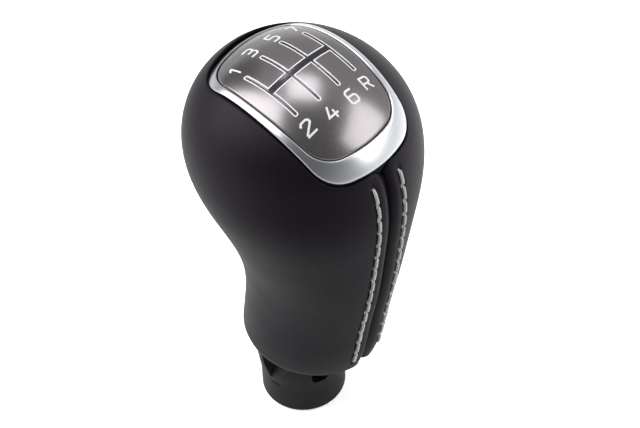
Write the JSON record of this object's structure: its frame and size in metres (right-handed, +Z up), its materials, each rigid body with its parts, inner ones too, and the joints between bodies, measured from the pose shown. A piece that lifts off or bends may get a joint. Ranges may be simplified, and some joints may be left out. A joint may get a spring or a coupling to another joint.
{
  "type": "gear shift knob",
  "caption": "Leather-wrapped manual gear shift knob with a stitched rear seam, bright bezel, domed shift-pattern cap, boot collar and threaded lever insert.",
  "frame": {"origin": "centre of the collar's foot, on the lever's axis", "axes": "+Z up along the lever's axis, +Y forward in the car, so the stitched seam faces -Y"},
  "size_m": [0.0488, 0.0528, 0.1103],
  "materials": {
    "leather": "smooth, soft sheen",
    "thread": "twisted thread",
    "bezel_chrome": "satin",
    "cap_metal": "gunmetal, glossy",
    "collar_plastic": "moulded",
    "core_nylon": "moulded",
    "insert_steel": "machined"
  },
  "bodies": {
    "root": {"knob_core": "core_nylon", "leather_cover": "leather", "stitch_row_left": "thread", "stitch_row_right": "thread", "bezel": "bezel_chrome", "pattern_cap": "cap_metal", "boot_collar": "collar_plastic", "threaded_insert": "insert_steel"}
  },
  "joints": []
}
